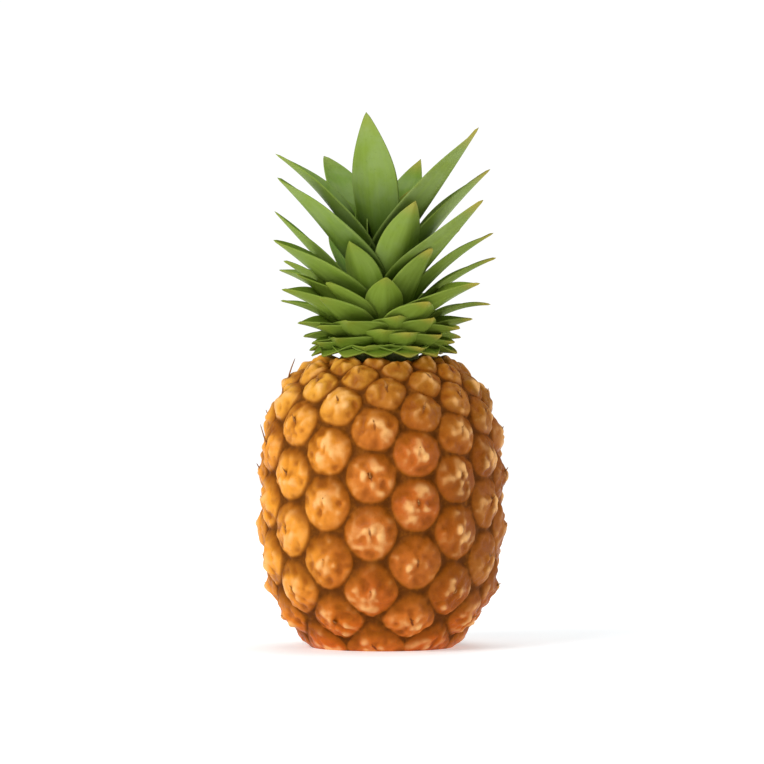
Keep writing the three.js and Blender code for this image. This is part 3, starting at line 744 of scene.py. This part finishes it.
SKIN_SHADES = {
    # Golden and brown, on the body and on the shoulder, are partly the peel's own colour and partly painted
    # light on the left and painted shade on the right.
    "golden": shade(234, 152, 46),
    "rosy": shade(186, 94, 28),
    "brown": shade(134, 72, 8),
    "low": shade(206, 98, 16),
    "golden shoulder": shade(226, 160, 54),
    "brown shoulder": shade(142, 90, 12),
    "odd eyes": shade(216, 134, 52),
    # Raised is a painted highlight, and the crease shade below it is a painted shade.
    "raised": shade(248, 190, 118),
    "painted_crease_shade": shade(138, 66, 0),
    # The groove shades are partly the peel's own brown and partly painted shade in the grooves.
    "groove": shade(136, 70, 0),
    "deep groove": shade(74, 36, 0),
    "mottling": shade(186, 106, 16),
    "slit": shade(92, 40, 8),
    "specks": shade(118, 58, 14),
}
BRACT_SHADES = {"brown": shade(122, 68, 20), "straw": shade(172, 116, 54)}
LEAF_SHADES = {
    # Low and high paint shade and light along a leaf.
    "low": shade(100, 130, 34),
    "high": shade(128, 152, 48),
    "inner face": shade(78, 128, 8),
    "old": shade(80, 98, 18),
    # Right is painted shade on the leaves on the right.
    "right": shade(112, 122, 44),
    "odd leaves": shade(134, 156, 54),
    # The blooms are partly the leaves' own wax and partly painted sheen.
    "young bloom": shade(146, 164, 112),
    "old bloom": shade(120, 140, 50),
    "veins": shade(142, 166, 70),
    # Root is a painted shade at a leaf's root.
    "root": shade(46, 72, 0),
    "edge": shade(160, 170, 84),
    "dry tip": shade(176, 156, 62),
    "specks": shade(70, 88, 30),
}
STEM_SHADES = {"dark": shade(84, 96, 40), "pale": shade(140, 150, 84)}
STALK_SHADES = {
    "between fibres": shade(120, 88, 50),
    "fibres": shade(206, 180, 128),
    "clouds": shade(158, 126, 78),
    "rim": shade(116, 82, 40),
    "side": shade(132, 94, 44),
}
FLOOR_SHADES = {"grey": (0.88, 0.92, 0.94, 1), "pale": (0.90, 0.94, 0.96, 1)}
WHITE = (1, 1, 1, 1)
# The floor's own light grows between these two radii, from its near value to its far one.
FLOOR_GLOW = {"from": 0.08, "to": 0.5, "near": 0.31, "far": 0.5}


class Shader:
    """A material's node tree, with a short call for each kind of node that this scene uses."""

    def __init__(self, name):
        self.material = bpy.data.materials.new(name)
        self.material.use_nodes = True
        self.tree = self.material.node_tree
        self.surface = self.tree.nodes["Principled BSDF"]

    def put(self, socket, value):
        if isinstance(value, bpy.types.NodeSocket):
            self.tree.links.new(value, socket)
        else:
            socket.default_value = value

    def math(self, operation, *values):
        node = self.tree.nodes.new("ShaderNodeMath")
        node.operation = operation
        for socket, value in zip(node.inputs, values):
            self.put(socket, value)
        return node.outputs[0]

    def between(self, value, low, high, to_low=0.0, to_high=1.0):
        node = self.tree.nodes.new("ShaderNodeMapRange")
        node.interpolation_type = "SMOOTHSTEP"
        for socket, number in zip(node.inputs, (value, low, high, to_low, to_high)):
            self.put(socket, number)
        return node.outputs[0]

    def mix(self, share, first, second):
        node = self.tree.nodes.new("ShaderNodeMix")
        node.data_type = "RGBA"
        self.put(node.inputs[0], share)
        self.put(node.inputs[6], first)
        self.put(node.inputs[7], second)
        return node.outputs[2]

    def tint(self, colour, added, value, none, full, most=1.0):
        """Adds a second colour, from none of it at one value to the most of it at the other."""
        return self.mix(self.between(value, none, full, 0.0, most), colour, added)

    def around(self, value, span):
        """A noise value moved to swing round 0, as wide as the span."""
        return self.math("MULTIPLY", self.math("SUBTRACT", value, 0.5), span)

    def length(self, x, y):
        squares = [self.math("MULTIPLY", value, value) for value in (x, y)]
        return self.math("SQRT", self.math("ADD", *squares))

    def attribute(self, name):
        """The three numbers of an attribute."""
        node = self.tree.nodes.new("ShaderNodeAttribute")
        node.attribute_name = name
        parts = self.tree.nodes.new("ShaderNodeSeparateXYZ")
        self.tree.links.new(node.outputs["Vector"], parts.inputs[0])
        return parts.outputs

    def place(self):
        return self.tree.nodes.new("ShaderNodeTexCoord").outputs["Object"]

    def parts(self, vector):
        node = self.tree.nodes.new("ShaderNodeSeparateXYZ")
        self.tree.links.new(vector, node.inputs[0])
        return node.outputs

    def join(self, x, y, z):
        node = self.tree.nodes.new("ShaderNodeCombineXYZ")
        for socket, value in zip(node.inputs, (x, y, z)):
            self.put(socket, value)
        return node.outputs[0]

    def noise(self, vector, scale, detail=3.0, rough=0.5):
        node = self.tree.nodes.new("ShaderNodeTexNoise")
        self.put(node.inputs["Vector"], vector)
        node.inputs["Scale"].default_value = scale
        node.inputs["Detail"].default_value = detail
        node.inputs["Roughness"].default_value = rough
        return node.outputs["Fac"]

    def cells(self, vector, scale):
        """The distance to the nearest of scattered points, for pores and blisters."""
        node = self.tree.nodes.new("ShaderNodeTexVoronoi")
        self.put(node.inputs["Vector"], vector)
        node.inputs["Scale"].default_value = scale
        return node.outputs["Distance"]

    def bump(self, height, distance, strength=1.0, normal=None):
        node = self.tree.nodes.new("ShaderNodeBump")
        node.inputs["Strength"].default_value = strength
        node.inputs["Distance"].default_value = distance
        self.put(node.inputs["Height"], height)
        if normal is not None:
            self.put(node.inputs["Normal"], normal)
        return node.outputs[0]

    def finish(self, colour, rough, normal, **numbers):
        self.put(self.surface.inputs["Base Color"], colour)
        self.put(self.surface.inputs["Roughness"], rough)
        self.put(self.surface.inputs["Normal"], normal)
        for name, value in numbers.items():
            self.surface.inputs[name.replace("_", " ")].default_value = value
        return self.material


def skin_material():
    """Waxy peel: golden on the left and brown on the right, partly its own colour and partly painted light
    and shade; rosier in front; brown in the grooves, partly painted shade; raised places painted paler as a
    highlight; with dry centres and pores.
    """
    s = Shader("pineapple_skin")
    place = s.place()
    x, _, _ = s.parts(place)
    eye_x, eye_y, tone = s.attribute("eye_place")
    share, rise, raised = s.attribute("skin_form")
    broad = s.noise(place, 28, 2)
    mottled = s.noise(place, 170, 5, 0.6)
    fine = s.noise(place, 700, 3, 0.6)

    # Broad changes from left to right and from the floor to the shoulder. The change from left to right is
    # partly the peel's own colour and partly painted light and shade: golden where the light falls on the
    # left, and brown as painted shade on the right, on the shoulder as well.
    across = s.math("ADD", x, s.around(broad, 0.05))
    colour = s.tint(SKIN_SHADES["golden"], SKIN_SHADES["rosy"], across, -0.05, -0.005)
    colour = s.tint(colour, SKIN_SHADES["brown"], across, 0.01, 0.05)
    colour = s.tint(colour, SKIN_SHADES["low"], rise, 0.3, 0.0)
    shoulder = s.tint(SKIN_SHADES["golden shoulder"], SKIN_SHADES["brown shoulder"], across, -0.04, 0.02)
    colour = s.tint(colour, shoulder, rise, 0.62, 0.9)
    colour = s.tint(colour, SKIN_SHADES["odd eyes"], tone, 0.0, 1.0, 0.3)

    # Painted highlight and shade: raised places are painted paler, as where light falls on them, and the
    # creases between them are painted darker, as where shade falls.
    lit = s.math("ADD", raised, s.around(mottled, 1.4))
    colour = s.tint(colour, SKIN_SHADES["raised"], lit, 0.1, 1.7, 0.85)
    colour = s.tint(colour, SKIN_SHADES["painted_crease_shade"], lit, 0.3, -1.0, 0.75)

    # The grooves are brown and partly painted shade, darker than the shallow relief can shade them, and
    # widest above each eye, where a painted shadow falls under the next one up; raised lumps are left free.
    painted_overhang_shadow = s.math("MAXIMUM", s.between(eye_y, -0.4, 0.9), s.between(share, 0.86, 1.0))
    widened = s.math("ADD", share, s.math("MULTIPLY_ADD", painted_overhang_shadow, 0.4, -0.1))
    edge = s.math("ADD", s.math("ADD", widened, s.around(mottled, 0.4)), s.math("MULTIPLY", raised, -0.12))
    colour = s.tint(colour, SKIN_SHADES["groove"], edge, 0.56, 1.24, 0.86)
    colour = s.tint(colour, SKIN_SHADES["deep groove"], edge, 1.12, 1.38, 0.75)
    colour = s.tint(colour, SKIN_SHADES["mottling"], mottled, 0.5, 0.7, 0.25)

    # A short dark slit in the dry centre, at its own lean, and fine specks all over.
    leaning_x = s.math("ADD", eye_x, s.math("MULTIPLY", eye_y, s.around(tone, 0.9)))
    from_slit = s.length(s.math("DIVIDE", leaning_x, 0.08), s.math("DIVIDE", eye_y, 0.26))
    slit = s.between(s.math("ADD", from_slit, s.around(fine, 1.6)), 1.2, 0.4)
    colour = s.mix(s.math("MULTIPLY", slit, s.between(tone, 0.2, 0.9, 0.2, 0.8)), colour, SKIN_SHADES["slit"])
    colour = s.tint(colour, SKIN_SHADES["specks"], fine, 0.6, 0.8, 0.35)

    normal = s.bump(s.cells(place, 620), 0.00012, 0.5)
    normal = s.bump(mottled, 0.0010, 0.8, normal)
    normal = s.bump(fine, 0.00025, 0.5, normal)
    rough = s.between(edge, 0.7, 1.3, 0.38, 0.68)
    return s.finish(colour, rough, normal, Specular_IOR_Level=0.09)


def bract_material():
    """Dry papery tips with brown and straw-coloured streaks."""
    s = Shader("pineapple_bract")
    streaks = s.noise(s.place(), 900, 3)
    colour = s.tint(BRACT_SHADES["brown"], BRACT_SHADES["straw"], streaks, 0.35, 0.65)
    return s.finish(colour, 0.75, s.bump(streaks, 0.0002, 0.6), Specular_IOR_Level=0.25)


def leaf_material():
    """Satin green blades with fine lengthwise veins, deeper green inside, painted shade darkening the roots
    and the leaves on the right, a bloom that is partly painted sheen, and some dry tips.
    """
    s = Shader("pineapple_leaf")
    place = s.place()
    across, along, face = s.attribute("leaf_place")
    age, tone, side = s.attribute("leaf_tone")
    scales = [(across, 5.0), (along, 1.6), (tone, 40.0)]
    veins = s.noise(s.join(*[s.math("MULTIPLY", value, scale) for value, scale in scales]), 1.0, 1, 0.5)
    clouds = s.noise(place, 90, 3)
    fine = s.noise(place, 600, 1)

    # Darker towards the root and lighter towards the tip: painted shade and light along each leaf.
    colour = s.tint(LEAF_SHADES["low"], LEAF_SHADES["high"], along, 0.15, 0.95)
    colour = s.tint(colour, LEAF_SHADES["inner face"], face, -0.4, 0.4, 0.8)
    colour = s.tint(colour, LEAF_SHADES["old"], age, 0.3, 1.0, 0.7)
    # Painted shade: leaves on the right, away from the light, are painted duller and darker.
    colour = s.tint(colour, LEAF_SHADES["right"], side, 0.3, 1.0, 0.5)
    colour = s.tint(colour, LEAF_SHADES["odd leaves"], tone, 0.0, 1.0, 0.4)
    # A pale waxy bloom in clouds, partly the leaves' own and partly painted sheen, palest on the young upper
    # leaves where the light falls.
    bloom_and_sheen = s.tint(LEAF_SHADES["young bloom"], LEAF_SHADES["old bloom"], age, 0.1, 0.7)
    colour = s.mix(s.between(clouds, 0.35, 0.65, 0.1, 0.45), colour, bloom_and_sheen)
    # The veins fade towards the tip, where they would be too fine to see.
    faded = s.between(along, 0.5, 0.95, 1.0, 0.2)
    vein_share = s.math("MULTIPLY", s.between(veins, 0.4, 0.65, 0.0, 0.3), faded)
    colour = s.mix(vein_share, colour, LEAF_SHADES["veins"])
    # Painted shade: each leaf is painted darker towards its root, where the leaves round it shade it.
    from_root = s.math("ADD", along, s.math("MULTIPLY", age, 0.15))
    colour = s.tint(colour, LEAF_SHADES["root"], from_root, 0.64, 0.1, 0.88)
    colour = s.tint(colour, LEAF_SHADES["edge"], s.math("ABSOLUTE", across), 0.9, 1.0, 0.12)
    dry = s.math("MULTIPLY", s.between(along, 0.8, 1.0), s.between(side, -0.2, 0.9, 0.15, 0.8))
    colour = s.mix(dry, colour, LEAF_SHADES["dry tip"])
    colour = s.tint(colour, LEAF_SHADES["specks"], fine, 0.66, 0.78, 0.2)

    normal = s.bump(veins, 0.0005, 0.2)
    normal = s.bump(clouds, 0.0012, 0.25, normal)
    rough = s.between(clouds, 0.3, 0.7, 0.42, 0.54)
    return s.finish(colour, rough, normal, Specular_IOR_Level=0.12)


def stem_material():
    """The crown's pale stem between the leaves' roots."""
    s = Shader("pineapple_stem")
    clouds = s.noise(s.place(), 220, 4)
    colour = s.tint(STEM_SHADES["dark"], STEM_SHADES["pale"], clouds, 0.3, 0.7)
    return s.finish(colour, 0.6, s.bump(clouds, 0.0008, 0.6))


def stalk_material():
    """A dry cut across the stalk: the ends of fibres, and a brown rim round them."""
    s = Shader("pineapple_stalk")
    place = s.place()
    x, y, height = s.parts(place)
    fibres = s.cells(place, 900)
    clouds = s.noise(place, 260, 4)
    colour = s.tint(STALK_SHADES["between fibres"], STALK_SHADES["fibres"], fibres, 0.15, 0.6)
    colour = s.tint(colour, STALK_SHADES["clouds"], clouds, 0.4, 0.7, 0.5)
    colour = s.tint(colour, STALK_SHADES["rim"], s.length(x, y), 0.0100, 0.0122, 0.8)
    colour = s.tint(colour, STALK_SHADES["side"], height, 0.0004, 0.002, 0.6)
    normal = s.bump(fibres, 0.0004, 0.6)
    return s.finish(colour, 0.85, s.bump(clouds, 0.0006, 0.6, normal))


def floor_material():
    """A white sweep that gives off a little light of its own, more of it away from the pineapple."""
    s = Shader("studio_floor")
    place = s.place()
    speckle = s.noise(place, 40, 2)
    colour = s.tint(FLOOR_SHADES["grey"], FLOOR_SHADES["pale"], speckle, 0.3, 0.7)
    x, y, _ = s.parts(place)
    ramp = [FLOOR_GLOW[name] for name in ("from", "to", "near", "far")]
    s.put(s.surface.inputs["Emission Strength"], s.between(s.length(x, y), *ramp))
    return s.finish(colour, 0.6, s.bump(speckle, 0.0001, 0.1), Emission_Color=WHITE)


# The studio


def make_floor():
    mesh = bpy.data.meshes.new("floor")
    corners = [(x * FLOOR_HALF, y * FLOOR_HALF, 0) for x, y in [(-1, -1), (1, -1), (1, 1), (-1, 1)]]
    mesh.from_pydata(corners, [], [(0, 1, 2, 3)])
    mesh.materials.append(floor_material())
    floor = bpy.data.objects.new("floor", mesh)
    bpy.context.scene.collection.objects.link(floor)


def make_light(name, place, size, power):
    """A square soft light that faces the middle of the pineapple."""
    data = bpy.data.lights.new(name, "AREA")
    data.shape = "SQUARE"
    data.size = size
    data.energy = power
    light = bpy.data.objects.new(name, data)
    bpy.context.scene.collection.objects.link(light)
    light.location = place
    target = np.array([0, 0, CAMERA["aim"]])
    away = np.array(place) - target
    light.rotation_euler = (math.acos(away[2] / np.linalg.norm(away)), 0, math.atan2(away[0], -away[1]))


def make_world():
    """White where the camera sees it, and a dimmer even light on everything else."""
    world = bpy.data.worlds.new("studio")
    world.use_nodes = True
    tree = world.node_tree
    background = tree.nodes["Background"]
    background.inputs["Color"].default_value = WHITE
    path = tree.nodes.new("ShaderNodeLightPath")
    strength = tree.nodes.new("ShaderNodeMix")
    strength.inputs[2].default_value = WORLD["light"]
    strength.inputs[3].default_value = WORLD["seen"]
    tree.links.new(path.outputs["Is Camera Ray"], strength.inputs[0])
    tree.links.new(strength.outputs[0], background.inputs["Strength"])
    bpy.context.scene.world = world


def make_camera():
    data = bpy.data.cameras.new("camera")
    data.lens = CAMERA["lens"]
    data.sensor_width = CAMERA["sensor"]
    data.clip_end = CAMERA["far"]
    camera = bpy.data.objects.new("camera", data)
    bpy.context.scene.collection.objects.link(camera)
    rise = math.radians(CAMERA["elevation"])
    back = CAMERA["distance"] * math.cos(rise)
    camera.location = (0, -back, CAMERA["aim"] + CAMERA["distance"] * math.sin(rise))
    camera.rotation_euler = (math.pi / 2 - rise, 0, 0)
    bpy.context.scene.camera = camera


make_camera()
make_skin(skin_material())
make_bracts(bract_material())
make_leaves(leaf_material())
make_stem(stem_material())
make_stalk_end(stalk_material())
make_floor()
for light_name, settings in LIGHTS.items():
    make_light(light_name, *settings)
make_world()
bpy.context.scene.view_settings.view_transform = "Standard"
